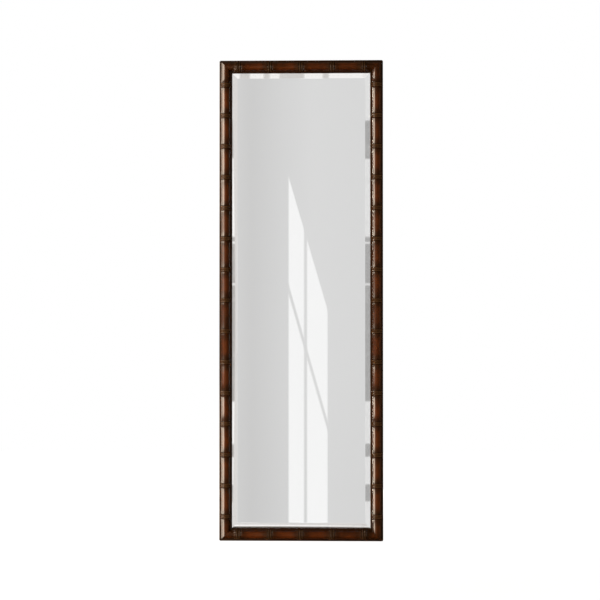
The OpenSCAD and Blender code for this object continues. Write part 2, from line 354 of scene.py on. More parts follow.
def cane(length, span, first, nodes, rise=GENTLE):
    """A half-round cane, as a left side. first is from its end to its first node's middle,
    and rise is how steeply it swells above each node."""
    step = (length - 2 * first) / (nodes - 1)
    over, under = half_length(step / 2, rise), half_length(step / 2, GENTLE)
    bpy.ops.mesh.primitive_circle_add(vertices=CANE_SIDES, radius=GROOVE_R, fill_type="NOTHING")
    stick = bpy.context.object
    start(stick)
    bpy.ops.mesh.select_all(action="SELECT")
    turn(over + mirrored(under, step)[1:] + [(step, GROOVE_R)])
    stop()
    array = stick.modifiers.new("node to node", "ARRAY")
    array.count = nodes - 1
    array.use_relative_offset, array.use_constant_offset = False, True
    array.constant_offset_displace = (0, 0, step)
    array.use_merge_vertices, array.merge_threshold = True, TINY
    bpy.ops.object.modifier_apply(modifier=array.name)

    start(stick)
    for way, end, swell in ((-1, 0, GENTLE), (1, (nodes - 1) * step, rise)):
        pick("EDGE", lambda edge: ends(edge, lambda co: abs(co.z - end) < TINY))
        turn(half_length(first - MOULD_W, swell) + [(first + MM, WAIST_R)], way)
        bpy.ops.mesh.edge_face_add()
    stop()
    stick.location = (CANE_INSET - span / 2, -BASE_T, first - length / 2)
    settle(stick)
    start(stick)
    saw((0, -BASE_T, 0), (0, 1, 0))
    mitre(length, span)
    clean()
    reach = (length - span) / 2
    pick("EDGE", lambda edge: ends(edge, lambda co: abs(abs(co.z) + co.x - reach) < TINY)
         and max(corner.co.y for corner in edge.verts) < -BASE_T - TINY)
    bpy.ops.mesh.bevel(offset=EASE, segments=1, affect="EDGES")
    clean()
    stop()
    smooth(stick, 35)
    print("a cane of", nodes, "nodes,", round(step / MM, 1), "mm apart:", len(stick.data.polygons), "faces")
    return stick


STILE_FIRST, STILE_NODES = 92.5 * MM, 15
RAIL_FIRST, RAIL_NODES = 72 * MM, 5
upright = cane(FRAME_H, FRAME_W, STILE_FIRST, STILE_NODES, STEEP)
upright_canes = pair(upright, ("cane_left", LEFT), ("cane_right", RIGHT), same_way_up=True)
cross = cane(FRAME_W, FRAME_H, RAIL_FIRST, RAIL_NODES)
cross_canes = pair(cross, ("cane_bottom", BOTTOM), ("cane_top", TOP))

# %% [markdown]
# ## The mirror
# The glass is a thick plate with a wide, shallow bevel ground all round its front. It is a
# box whose front face is inset by the bevel's width, and whose front rim is then pushed back.
# Silver lies on the glass's own back face, so that light crosses the glass, turns at the
# silver and crosses it again, which is what makes a bevel flash.

# %% Glass, silver and its paint
BEVEL_W, BEVEL_DROP = 25.4 * MM, 2.5 * MM
PAINT_T = 0.08 * MM


def plate(name, low, high):
    """A plain box between two corners, ready to be shaped."""
    low, high = Vector(low), Vector(high)
    bpy.ops.object.select_all(action="DESELECT")
    bpy.ops.mesh.primitive_cube_add(size=1, location=(low + high) / 2, scale=high - low)
    made = settle(bpy.context.object)
    made.name = made.data.name = name
    return made


glass = plate("bevelled_glass", *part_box("mirror_glass"))
start(glass)
pick("FACE", lambda face: face.normal.y < -0.9)
bpy.ops.mesh.inset(thickness=BEVEL_W, use_even_offset=True)
glass_low, glass_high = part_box("mirror_glass")
pick("VERT", lambda corner: abs(corner.co.y - glass_low.y) < TINY
     and (abs(abs(corner.co.x) - glass_high.x) < TINY
          or min(abs(corner.co.z - glass_low.z), abs(corner.co.z - glass_high.z)) < TINY))
bpy.ops.transform.translate(value=(0, BEVEL_DROP, 0))
clean()
stop()

silver_low, silver_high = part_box("silvering")
paint = plate("silver_backing", (silver_low.x, silver_high.y - PAINT_T, silver_low.z), silver_high)
start(paint)
pick("EDGE", lambda edge: abs(edge.verts[0].co.y - edge.verts[1].co.y) > TINY)
bpy.ops.mesh.bevel(offset=1.5 * MM, segments=4, affect="EDGES")
clean()
stop()
print("glass", [round(v / MM, 1) for v in glass_high - glass_low], "mm")

# %% [markdown]
# ## Finishes: writing shader maths plainly
# A finish is a sum of small observations: darker in a groove, redder between the nodes, duller
# on the back. Written as nodes by hand such sums grow long, so a number that varies over the
# surface is wrapped in a small class, and Python's own signs then add the Math nodes.

# %% Written colours
def linear(channel):
    """One 0 to 255 channel of a written colour, as light."""
    c = channel / 255
    return c / 12.92 if c <= 0.04045 else ((c + 0.055) / 1.055) ** 2.4


def tone(red, green, blue):
    """A colour as it is written in a paint book, turned into light."""
    return (linear(red), linear(green), linear(blue), 1)


print("written red 118 is", round(linear(118), 3), "of full light")

# %% A number that varies
class Number:
    """A number that varies over a surface. Arithmetic on it adds Math nodes."""

    def __init__(self, maker, socket):
        self.maker, self.socket = maker, socket

    def math(self, operation, *values):
        """Adds one Math node."""
        return self.maker.node("ShaderNodeMath", {"operation": operation}, dict(enumerate(values)))

    def __add__(self, other):
        return self.math("ADD", self, other)

    def __sub__(self, other):
        return self.math("SUBTRACT", self, other)

    def __rsub__(self, other):
        return self.math("SUBTRACT", other, self)

    def __mul__(self, other):
        return self.math("MULTIPLY", self, other)

    def __truediv__(self, other):
        return self.math("DIVIDE", self, other)

    def __abs__(self):
        return self.math("ABSOLUTE", self)

    def least(self, other):
        """The lesser of the two."""
        return self.math("MINIMUM", self, other)

    def most(self, other):
        """The greater of the two."""
        return self.math("MAXIMUM", self, other)

    def wave(self):
        """Its sine."""
        return self.math("SINE", self)

    def wound(self, low, high):
        """The same number, wound round and round from low to high."""
        return self.math("WRAP", self, low, high)

    def rises(self, low, high):
        """0 below low, 1 above high, and a smooth step between."""
        values = {"Value": self, "From Min": low, "From Max": high}
        return self.maker.node("ShaderNodeMapRange", {"interpolation_type": "SMOOTHSTEP"}, values)

    def between(self, low, high, soft):
        """1 from low to high, and 0 outside, with soft edges."""
        return self.rises(low - soft, low + soft) * (1 - self.rises(high - soft, high + soft))

    __radd__, __rmul__ = __add__, __mul__


print("a varying number knows:", [name for name in vars(Number) if not name.startswith("_")])

# %% Nodes and finishes
class Maker:
    """Adds nodes to one node tree."""

    def __init__(self, tree):
        self.tree = tree

    def node(self, kind, settings=None, values=None, output=0):
        """Adds a node of a kind, sets it, fills its sockets and returns one output."""
        made = self.tree.nodes.new(kind)
        for name, setting in (settings or {}).items():
            if name == "stops":
                for extra in setting[2:]:
                    made.color_ramp.elements.new(extra[0])
                for stop_at, (place, colour) in zip(made.color_ramp.elements, setting):
                    stop_at.position, stop_at.color = place, colour
            else:
                setattr(made, name, setting)
        for name, value in (values or {}).items():
            self.feed(made.inputs[name], value)
        return Number(self, made.outputs[output]) if len(made.outputs) else None

    def feed(self, socket, value):
        """Links a varying value to a socket, or sets a plain one on it."""
        if isinstance(value, Number):
            self.tree.links.new(value.socket, socket)
        else:
            socket.default_value = value

    def mix(self, share, first, second, blend="MIX"):
        """Mixes two colours."""
        settings = {"data_type": "RGBA", "blend_type": blend}
        return self.node("ShaderNodeMix", settings, {0: share, 6: first, 7: second}, 2)

    def place(self):
        """Where a point of the surface lies, in metres."""
        return self.node("ShaderNodeTexCoord", output="Object")

    def split(self, place):
        """The X, Y and Z of a place."""
        made = self.node("ShaderNodeSeparateXYZ", values={"Vector": place}).socket.node
        return [Number(self, socket) for socket in made.outputs]

    def noise(self, place, scale, detail=2.0, stretch=(1, 1, 1), roughness=0.5):
        """Cloudy noise. scale counts its clouds per metre, and stretch lengthens them by axis."""
        size = [scale / s for s in stretch]
        spot = self.node("ShaderNodeVectorMath", {"operation": "MULTIPLY"}, {0: place, 1: size})
        values = {"Vector": spot, "Scale": 1.0, "Detail": detail, "Roughness": roughness}
        return self.node("ShaderNodeTexNoise", values=values)

    def ramp(self, share, stops):
        """A colour that depends on a number from 0 to 1."""
        return self.node("ShaderNodeValToRGB", {"stops": stops}, {"Fac": share})


class Finish(Maker):
    """A material under the brush. Constants go straight on the shader's own sockets."""

    def __init__(self, name, **constants):
        self.material = bpy.data.materials.new(name)
        self.material.use_nodes = True
        super().__init__(self.material.node_tree)
        self.shader = self.tree.nodes["Principled BSDF"]
        for socket, value in constants.items():
            self.set(socket.replace("_", " "), value)

    def set(self, socket, value):
        """Feeds one of the shader's sockets."""
        self.feed(self.shader.inputs[socket], value)

    def bump(self, height, distance, strength=1.0):
        """Roughens the surface by a height from 0 to 1, which stands for a distance."""
        values = {"Height": height, "Distance": distance, "Strength": strength}
        self.set("Normal", self.node("ShaderNodeBump", values=values))


def wear(material, *pieces):
    """Gives pieces a finish, in place of any they came with."""
    for piece in pieces:
        piece.data.materials.clear()
        piece.data.materials.append(material)


print("a maker of nodes knows:", [name for name in vars(Maker) if not name.startswith("_")])

# %% [markdown]
# ## Mahogany, stained, glazed and burnished
# The maker stains the wood dark, wipes an almost black glaze over it and rubs it back, so
# the glaze stays in the grooves, beside the nodes and in the corners, while the swellings
# between the nodes come up red and glossy. Light and shade are painted in as well: painted
# shade down the flanks, lighter on the uprights, a painted sheen left of each node on the
# rails with the left ring lighter than the right, and ring crests that are partly rubbed and
# partly a painted highlight. Everything is worked out from a point's place: how far it is
# from the nearest node, from the cane's foot and from the mitres.

# %% Stains, glaze and where they lie
GLAZE, STAIN = tone(36, 18, 4), tone(52, 24, 7)
# the second of these is the pale crest of the rings: rubbed wood, and also a painted highlight
BURNISHED, RUBBED_AND_LIT = tone(85, 38, 10), tone(76, 53, 35)
# painted sheen: light from the left on a rail cane's swelling, just left of each node
PAINTED_SHEEN = tone(66, 42, 26)
# the groove between the rings is painted lighter on the uprights than on the rails, as painted light there
BETWEEN_RINGS = {"X": tone(46, 28, 13), "Z": tone(58, 36, 17)}
# painted shade for a cane's flanks and for the flat mouldings, lighter on the uprights, where it is also a
# painted sheen
FLANK = {"X": tone(36, 9, 0), "Z": tone(50, 23, 7)}
RAW_BACK = tone(92, 66, 45)
PORE = tone(20, 10, 3)
# the third of these says how far below the crest the painted shade of the flanks sets in
CORNER_FADE, SWELL_FADE, CROWN_FADE = (30 * MM, 95 * MM), (11 * MM, 41 * MM), (9 * MM, 16.5 * MM)
FOOT_H, GLAZE_DRIFT = 5 * MM, 16 * MM
# the third of these is painted shade, which darkens the flanks below the crest
CORNER_GLAZE, FOOT_GLAZE, FLANK_SHADE, NODE_GLAZE = 0.5, 0.5, 0.1, 0.45
PATCHY, CLOUDY = 0.7, 0.6
CREST_FROM, CREST_TO, CREST_SOFT = RING_AT - 1.8 * MM, RING_AT + 1.6 * MM, 1.2 * MM
SHEEN_FROM, SHEEN_TO, SHEEN_SHARE = (-24 * MM, -10 * MM), (-9 * MM, -8 * MM), 0.55
SEAM, SEAM_DARK = (0.3 * MM, 1.0 * MM), 0.7
SKIN = (0.4 * MM, 1.0 * MM)
stile_step = (FRAME_H - 2 * STILE_FIRST) / (STILE_NODES - 1)
rail_step = (FRAME_W - 2 * RAIL_FIRST) / (RAIL_NODES - 1)
print("node to node:", round(stile_step / MM, 1), "and", round(rail_step / MM, 1), "mm")

# %% Mahogany
def grain(maker, place, along):
    """Long narrow pores and broad streaks, 0 to 1, that run along X or Z."""
    lengths = (30, 1, 1) if along == "X" else (1, 1, 30)
    pores = maker.noise(place, 900, 2.0, lengths).rises(0.56, 0.7)
    streaks = maker.noise(place, 160, 4.0, lengths, 0.6)
    return pores, streaks


def mahogany(name, along, node_at=None, step=None):
    """The frame's finish, for a cane with nodes a step apart, or for a flat moulding."""
    finish = Finish(name, Coat_Roughness=0.1, Coat_IOR=1.5, Specular_IOR_Level=0.0)
    place = finish.place()
    x, y, z = finish.split(place)
    z = z - MIDDLE_Z
    run, across = (x, z) if along == "X" else (z, x)
    half_run, half_across = (FRAME_W / 2, FRAME_H / 2) if along == "X" else (FRAME_H / 2, FRAME_W / 2)
    pores, streaks = grain(finish, place, along)
    cloud = finish.noise(place, 18, 3.0, roughness=0.6)
    patch = finish.noise(place, 70, 3.0, roughness=0.6)
    to_mitre = abs((half_run - abs(run)) - (half_across - abs(across)))
    corner = 1 - (half_run - abs(run)).rises(*CORNER_FADE)
    foot = y.rises(FRONT_Y - FOOT_H, FRONT_Y + 1 * MM)
    crown = 1 - y.rises(FRONT_Y - CROWN_FADE[1], FRONT_Y - CROWN_FADE[0])
    # the glaze that was left: in corners, along the foot, beside the nodes and in patches; and painted
    # shade down the flanks, below the crest
    dark = corner * CORNER_GLAZE + foot * FOOT_GLAZE + (1 - crown) * FLANK_SHADE
    if step:
        past = (run - node_at).wound(-step / 2, step / 2)
        away = abs(past)
        swell = (away + (cloud - 0.5) * GLAZE_DRIFT).rises(*SWELL_FADE)
        dark = dark + (1 - swell) * NODE_GLAZE
        crest = away.between(CREST_FROM, CREST_TO, CREST_SOFT)
        node = 1 - away.rises(NODE_HALF - 0.4 * MM, NODE_HALF + 0.2 * MM)
    else:
        swell = cloud.rises(0.35, 0.75) * 0.35
    dark = (dark + (patch - 0.5) * PATCHY + (cloud - 0.5) * CLOUDY).least(1.0).most(0.0)
    # the stain, burnished on the swellings; below the crest the flanks take a darker tone as painted shade,
    # which leaves the crest lighter as painted light from the front
    colour = finish.mix(swell * cloud.rises(0.2, 0.65), STAIN, BURNISHED)
    colour = finish.mix(streaks.rises(0.35, 0.75) * 0.45, colour, STAIN)
    colour = finish.mix((1 - crown) * 0.72, colour, FLANK[along])
    colour = finish.mix(dark, colour, GLAZE)
    # the rings: glaze beside them, and crests that are partly rubbed wood and partly a painted highlight;
    # on a rail's cane a painted sheen left of each node, and its left ring painted lighter and its right
    # ring darker, as painted light from the left
    if step:
        groove = finish.mix(away.rises(RING_AT, RING_AT + BEAD_R), BETWEEN_RINGS[along], GLAZE)
        rubbed_and_lit = crest * (0.2 + patch * 0.5)
        if along == "X":
            # where the painted sheen lies, just left of each node
            bloom = past.rises(*SHEEN_FROM) * (1 - past.rises(*SHEEN_TO))
            colour = finish.mix(bloom * SHEEN_SHARE, colour, PAINTED_SHEEN)
            # painted light from the left: on a rail the left ring lighter, the right ring darker
            rubbed_and_lit = rubbed_and_lit * (1.3 - past.rises(-2 * MM, 2 * MM))
        ring = finish.mix(rubbed_and_lit, groove, RUBBED_AND_LIT)
        colour = finish.mix(node, colour, ring)
    colour = finish.mix(pores * 0.55, colour, PORE)
    # the raw back, and the dark line of each mitre
    behind = y.rises(BACK_Y - SKIN[1], BACK_Y - SKIN[0])
    raw = finish.mix(streaks.rises(0.3, 0.7) * 0.5 + pores * 0.4, RAW_BACK, STAIN)
    joint = 1 - to_mitre.rises(*SEAM)
    finish.set("Base Color", finish.mix(joint * SEAM_DARK, finish.mix(behind, colour, raw), PORE))
    rough = 0.3 + dark * 0.16 + pores * 0.15 + (patch - 0.5) * 0.12
    finish.set("Roughness", (rough + behind * 0.35).least(0.9))
    varnish = 0.9 - dark * 0.2
    if step:
        varnish = varnish - past.between(-NODE_HALF - 2 * MM, NODE_HALF, MM) * 0.55
    finish.set("Coat Weight", (1 - behind) * varnish)
    finish.bump(streaks * 0.4 + patch * 0.6 - pores, 0.12 * MM, 0.6)
    return finish.material


wear(mahogany("mahogany_upright_cane", "Z", STILE_FIRST - FRAME_H / 2, stile_step), *upright_canes)
wear(mahogany("mahogany_cross_cane", "X", RAIL_FIRST - FRAME_W / 2, rail_step), *cross_canes)
wear(mahogany("mahogany_stile", "Z"), *stiles)
wear(mahogany("mahogany_rail", "X"), *rails)
print("sticks in mahogany:", len(stiles + rails + upright_canes + cross_canes))

# %% [markdown]
# ## Glass and silver
# Clear glass lets light through with a faint green tint, and the silver on its back face is a
# metal with no roughness at all. The back face is picked and given the silver by itself. The
# slopes of the bevel are given a heavier glass, which bends light more, so that they look well
# past what the flat shows. The two short slopes also lean sideways a little, by a bump that
# rises evenly along X. Light meets that bump again from inside the glass, where it has to be
# turned over. The paint that protects the silver from behind is a dull grey.

# %% Glass and silver
SIDE_LEAN = 0.1
GLASS_TINT = (0.995, 0.998, 0.996, 1)
SILVER, HAZED = (0.955, 0.955, 0.955, 1), (0.93, 0.93, 0.935, 1)
PLAIN_INDEX, HEAVY_INDEX = 1.5, 2.2


def clear_glass(name, index):
    """Glass that bends light by an index."""
    return Finish(name, Base_Color=GLASS_TINT, Roughness=0.0, IOR=index, Transmission_Weight=1.0)


clear = clear_glass("mirror_glass", PLAIN_INDEX)
silver = Finish("mirror_silver", Metallic=1.0, Roughness=0.0)
haze = silver.noise(silver.place(), 6, 3.0)
silver.set("Base Color", silver.mix(haze * 0.35, SILVER, HAZED))
heavy, leaning = (clear_glass(name, HEAVY_INDEX) for name in ("bevel_glass", "bevel_glass_ends"))
inside = leaning.node("ShaderNodeNewGeometry", output="Backfacing")
leaning.bump(leaning.split(leaning.place())[0] * (1 - inside * 2), SIDE_LEAN)
wear(clear.material, glass)
start(glass)
for material, chosen in (
    (silver.material, lambda face: face.normal.y > 0.9),
    (heavy.material, lambda face: -0.9999 < face.normal.y < -0.9 and abs(face.normal.x) > 0.01),
    (leaning.material, lambda face: -0.9999 < face.normal.y < -0.9 and abs(face.normal.z) > 0.01),
):
    glass.data.materials.append(material)
    pick("FACE", chosen)
    glass.active_material_index = len(glass.data.materials) - 1
    bpy.ops.object.material_slot_assign()
stop()

backing = Finish("silver_backing_paint", Metallic=0.2)
speckle = backing.noise(backing.place(), 220, 3.0)
backing.set("Base Color", backing.mix(speckle, tone(96, 98, 100), tone(122, 124, 126)))
backing.set("Roughness", 0.45 + speckle * 0.2)
wear(backing.material, paint)
worn = [face.material_index for face in glass.data.polygons]
print("faces of clear glass, silver, long and short slopes:", [worn.count(slot) for slot in range(4)])

# %% [markdown]
# ## The back of the frame
# Nobody sees the back on the wall, but a picture framer does: a pressed board held by steel
# points, wavy nails across the mitres, rubber pads and two brass-plated hangers.
# These solids are already right in the construction, so they stay and only get their finish.

# %% Board
WEAVE_PER_M = 4500
board = Finish("pressed_board", IOR=1.4)
spot = board.place()
fibre = board.noise(spot, 260, 4.0, roughness=0.7)
drift = board.noise(spot, 12, 2.0)
bx, _, bz = board.split(spot)
weave = (bx * WEAVE_PER_M).wave() * (bz * WEAVE_PER_M).wave()
board.set("Base Color", board.mix(fibre * 0.7 + drift * 0.3, tone(88, 56, 34), tone(146, 104, 68)))
board.set("Roughness", 0.6 + fibre * 0.25)
board.bump(weave * 0.35 + fibre * 0.6, 0.15 * MM, 0.5)
wear(board.material, frame["nodes"]["backing_board"])
print("one dent of the board's weave is", round(math.tau / WEAVE_PER_M / MM, 2), "mm wide")

# %% Rubber, steel and brass
def rubber(name, shade):
    """Matt rubber with dust on it."""
    made = Finish(name, IOR=1.45)
    dust = made.noise(made.place(), 900, 3.0)
    made.set("Base Color", made.mix(dust * 0.6, tone(*shade), tone(*[c + 26 for c in shade])))
    made.set("Roughness", 0.6 + dust * 0.25)
    made.bump(dust, 0.05 * MM, 0.4)
    return made.material


def metal(name, shade, tarnish, rough):
    """Plated metal with fine scratches and cloudy tarnish."""
    made = Finish(name, Metallic=1.0)
    where = made.place()
    scratches = made.noise(where, 2500, 2.0, (1, 1, 12))
    bloom = made.noise(where, 160, 3.0)
    made.set("Base Color", made.mix(bloom.rises(0.35, 0.8) * 0.8, tone(*shade), tone(*tarnish)))
    made.set("Roughness", rough + scratches * 0.15 + bloom * 0.12)
    made.bump(scratches, 0.02 * MM, 0.3)
    return made.material


nodes = frame["nodes"]
pads = [nodes["setting_blocks"], nodes["edge_spacers"]]
wear(rubber("block_rubber", (34, 34, 35)), *pads)
wear(rubber("bumper_rubber", (44, 43, 42)), nodes["upper_bumpers"], nodes["lower_bumpers"])
steel = metal("point_steel", (176, 176, 178), (120, 116, 110), 0.3)
wear(steel, *[nodes[side + "_points"] for side in ("left", "right", "top", "bottom")])
nail_steel = metal("nail_steel", (150, 150, 152), (98, 92, 86), 0.35)
wear(nail_steel, *[node for name, node in nodes.items() if name.endswith("v_nails")])
brass = metal("hanger_brass", (222, 184, 112), (168, 130, 74), 0.22)
wear(brass, *[node for name, node in nodes.items() if name.endswith(("strap", "ring"))])
screw_brass = metal("screw_brass", (210, 174, 108), (150, 118, 70), 0.2)
wear(screw_brass, *[node for name, node in nodes.items() if name.endswith("screws")])
print("finishes so far:", len(bpy.data.materials))

# %% [markdown]
# ## What belongs to what
# Every new piece says which solid it stands for and which moving body carries it. Only the
# two rings of the hangers move, and they are solids of the construction already.

# %% Riding on the frame
standing_for = {
    stiles[0]: "left_stile", stiles[1]: "right_stile", rails[0]: "bottom_rail", rails[1]: "top_rail",
    upright_canes[0]: "left_cane", upright_canes[1]: "right_cane",
    cross_canes[0]: "bottom_cane", cross_canes[1]: "top_cane",
    glass: "mirror_glass", paint: "silvering",
}
slots = {
    "stile": "mahogany_moulding", "rail": "mahogany_moulding", "cane": "mahogany_cane",
    "bevelled": "mirror_glass", "silver": "silver",
}
for piece, node in standing_for.items():
    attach(piece, "frame")
    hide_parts(node)
    slots[piece.name.split("_")[0]]
print("pieces that stand for a solid:", len(standing_for))

# %% [markdown]
# ## The room in the mirror
# A mirror shows the room, so the room decides how the mirror looks. One big card stands just
# behind the camera. Only reflections see it: the mirror finds a pale grey wall with a patch
# of sunlight on it, crossed by the shadow of a window bar, and varnish finds a dim room that
# is lighter on the left. On the card, u and v count the picture's columns and rows: they say
# where in the picture the mirror's flat would show that spot.

# %% The card's measures
CARD_BEHIND = 0.3
CARD_W, CARD_H = 4.4, 6.6
SILVER_Y = glass_high.y
TO_SILVER = SILVER_Y - EYE.y
REACH = (2 * TO_SILVER + CARD_BEHIND) / TO_SILVER
PX_PER_M = FOCAL_PX / TO_SILVER
MIDDLE_PX = PICTURE / 2
THROUGH = 0.93
FRONT_GLOW, LEFT_GLOW, RIGHT_GLOW = 0.12, 0.55, 0.08
ROOM_WARMTH = (1, 0.72, 0.48, 1)
GLOW_FADE = (-1.2, -0.3)


def glow_tree(name):
    """A material that only shines, and the maker of its nodes."""
    material = bpy.data.materials.new(name)
    material.use_nodes = True
    material.node_tree.nodes.clear()
    return material, Maker(material.node_tree)


def finish_glow(maker, colour):
    """Ends a shining material, whose colour says how strongly it shines."""
    shine = maker.node("ShaderNodeEmission", values={"Color": colour})
    maker.node("ShaderNodeOutputMaterial", values={"Surface": shine})


def flat_grey(level):
    """The grey on the card that the mirror's flat shows as a written level."""
    return (*[linear(level) / THROUGH] * 3, 1)


print("one pixel of the mirror is", round(REACH / PX_PER_M / MM, 2), "mm on the card")

# %% The wall and its patch of sunlight
WALL = [(230, 211), (252, 205), (284, 214), (312, 219), (370, 217)]    # a column and its grey
WALL_DIMS, WALL_DIMMING = (320, 540), 0.03
SUN, SUN_SOFT = 247, (-2.5, 3.5)
SUN_LEFT, SUN_RIGHT = (288.6, 304.0), (307.0, 327.5)
SUN_TOP, SUN_SLOPE = (288.5, 176.0), 3.42
BAR_TOP, BAR_SLOPE, BAR_HALF, BAR_SOFT, BAR_SHADE = (289.5, 292.5), 3.5, 5.0, 3, 0.97

bpy.ops.object.select_all(action="DESELECT")
bpy.ops.mesh.primitive_plane_add(
    size=1, location=(EYE.x, EYE.y - CARD_BEHIND, EYE.z), rotation=(math.radians(-90), 0, 0)
)
card = bpy.context.object
card.name = "room_card"
card.scale = (CARD_W, CARD_H, 1)
settle(card)
room, maker = glow_tree("room_in_the_mirror")
cx, _, cz = maker.split(maker.place())
u = (EYE.x - AIM.x + (cx - EYE.x) / REACH) * PX_PER_M + MIDDLE_PX
v = MIDDLE_PX - (EYE.z - AIM.z + (cz - EYE.z) / REACH) * PX_PER_M
wall_from, wall_w = WALL[0][0], WALL[-1][0] - WALL[0][0]
stops = [((at - wall_from) / wall_w, flat_grey(level)) for at, level in WALL]
wall = maker.ramp((u - wall_from) / wall_w, stops)
wall = maker.mix(v.rises(*WALL_DIMS) * WALL_DIMMING, wall, (0, 0, 0, 1))
lit_below = (v - (u - SUN_TOP[0]) * SUN_SLOPE - SUN_TOP[1]).rises(*SUN_SOFT)
off_bar = abs(v - (u - BAR_TOP[0]) * BAR_SLOPE - BAR_TOP[1])
bar = 1 - off_bar.rises(BAR_HALF - BAR_SOFT, BAR_HALF + BAR_SOFT)
strips = u.between(*SUN_LEFT, 1.0) + u.between(*SUN_RIGHT, 1.0)
sunlit = strips.least(1.0) * lit_below * (1 - bar * BAR_SHADE)
wall = maker.mix(sunlit, wall, flat_grey(SUN))
print("greys across the wall:", [level for at, level in WALL], "and in the sun", SUN)

# %% [markdown]
# ## What the slopes of the bevel find
# A slope bends the view aside, so it shows what lies beyond the wall that the flat shows. The
# long slopes look out to the left and right, where light and dull stretches alternate from top
# to bottom. The short ones lean, and look still farther out: the upper at a row of lights, the
# lower at a bright line with the dark floor under it.

# %% The rest of the card
SLOPE_FROM, SLOPE_THROUGH, SLOPE_GLOSS = 80, 0.72, 0.1
SIDE_LIGHTS = [(40, 118), (157, 236), (241, 243), (283, 285), (402, 445), (458, 486), (503, 570)]
SIDE_DULL, SIDE_BRIGHT, LEFT_BRIGHT = 172, 228, 242
LEFT_INNER, LEFT_PLAIN = 409.8, 212
ENDS_FROM, ENDS_ROWS = 413.5, [(240, 282), (338, 366)]
ENDS_AT, ENDS_COLUMN, ENDS_STRETCH = 422.7, 240, 1.025
TOP_LIGHTS = [(228, 238), (248, 262), (268, 278), (303, 322), (328, 372)]
TOP_DULL, TOP_BRIGHT = 203, 240
FOOT_LINE, FOOT_FADES, FOOT_DARK = (347.4, 348.6), (300, 360), (348.9, 349.5)
FOOT_SLANT, FOOT_LEVEL = 0.012, 250
FOOT_DULL, FOOT_BRIGHT = 211, 246
SIDE_SOFT, LINE_SOFT = 1.5, 0.4


def slope_grey(level):
    """The grey on the card that a slope of the bevel shows as a written level."""
    return (*[max(0, linear(level) - SLOPE_GLOSS) / SLOPE_THROUGH] * 3, 1)


def lights(along, stretches):
    """1 in each of several stretches."""
    total = 0
    for low_end, high_end in stretches:
        total = along.between(low_end, high_end, SIDE_SOFT) + total
    return total


mottle = (maker.noise(maker.place(), 12.0, 4.0, roughness=0.7) - 0.5) * 0.8
side_light = (lights(v, SIDE_LIGHTS) + mottle).least(1.0).most(0.0)
on_left = u.rises(MIDDLE_PX - 1, MIDDLE_PX + 1)
bright = maker.mix(on_left, slope_grey(SIDE_BRIGHT), slope_grey(LEFT_BRIGHT))
slopes = maker.mix(side_light, slope_grey(SIDE_DULL), bright)
inner = u.rises(LEFT_INNER - 0.7, LEFT_INNER + 0.7)
slopes = maker.mix(inner, slopes, slope_grey(LEFT_PLAIN))
column = (u - ENDS_AT) / ENDS_STRETCH + ENDS_COLUMN
top_light = (lights(column, TOP_LIGHTS) + mottle * 0.5).least(1.0).most(0.0)
top_slope = maker.mix(top_light, slope_grey(TOP_DULL), slope_grey(TOP_BRIGHT))
foot_row = v + (column - FOOT_LEVEL) * FOOT_SLANT
foot_light = foot_row.between(*FOOT_LINE, LINE_SOFT) * (1 - column.rises(*FOOT_FADES) * 0.5)
foot_slope = maker.mix(foot_light, slope_grey(FOOT_DULL), slope_grey(FOOT_BRIGHT))
foot_slope = maker.mix(foot_row.rises(*FOOT_DARK), foot_slope, (0, 0, 0, 1))
in_lower_half = v.rises(MIDDLE_PX - 1, MIDDLE_PX + 1)
end_slopes = maker.mix(in_lower_half, top_slope, foot_slope)
ends_seen = u.rises(ENDS_FROM - 1, ENDS_FROM + 1) * lights(v, ENDS_ROWS)
slopes = maker.mix(ends_seen, slopes, end_slopes)
wall = maker.mix(abs(u - MIDDLE_PX).rises(SLOPE_FROM - 2, SLOPE_FROM + 2), wall, slopes)

by_glass = maker.node("ShaderNodeLightPath", output="Is Transmission Ray")
left_dim, front_dim = ([level * c for c in ROOM_WARMTH] for level in (LEFT_GLOW, FRONT_GLOW))
dim_room = maker.mix((cx - EYE.x).rises(*GLOW_FADE), left_dim, front_dim)
finish_glow(maker, maker.mix(by_glass, dim_room, wall))
card.data.materials.append(room)
card.visible_camera = card.visible_diffuse = card.visible_shadow = False
print("bright stretches beside the wall:", len(SIDE_LIGHTS), "and above it:", len(TOP_LIGHTS))

# %% [markdown]
# ## Surroundings and floor
# The picture has a plain white ground. The floor and the surroundings are white to the camera
# alone, and give the frame only a plain, even light. The floor still takes the frame's shadow,
# because just a share of what the camera sees there is a plain shine, and the rest is lit.
# That shine grows towards the far edge, where less of the lamps' light falls.

# %% Surroundings
SOFT_LIGHT, MIRROR_GREY = 0.38, 0.8
GLOSS_ABOVE, GLOSS_BACK = 0.15, 0.6
world = bpy.data.worlds.new("surroundings")
bpy.context.scene.world = world
world.use_nodes = True
world.node_tree.nodes.clear()
sky = Maker(world.node_tree)


def seen_by(maker, kind):
    """1 for one kind of ray, and 0 for the others."""
    return maker.node("ShaderNodeLightPath", output=kind)


by_camera = seen_by(sky, "Is Camera Ray")
by_glass = seen_by(sky, "Is Transmission Ray")
by_gloss = seen_by(sky, "Is Glossy Ray") * (1 - by_glass)
others = (1 - by_camera) * (1 - by_glass) * (1 - by_gloss)
to_x, to_y, to_z = sky.split(sky.node("ShaderNodeTexCoord", output="Generated"))
# what varnish sees: light on the left, dim in front and darker on the right,
gloss = LEFT_GLOW + to_x.rises(-0.45, 0.1) * (FRONT_GLOW - LEFT_GLOW)
gloss = gloss + to_x.rises(0.2, 0.6) * (RIGHT_GLOW - FRONT_GLOW)
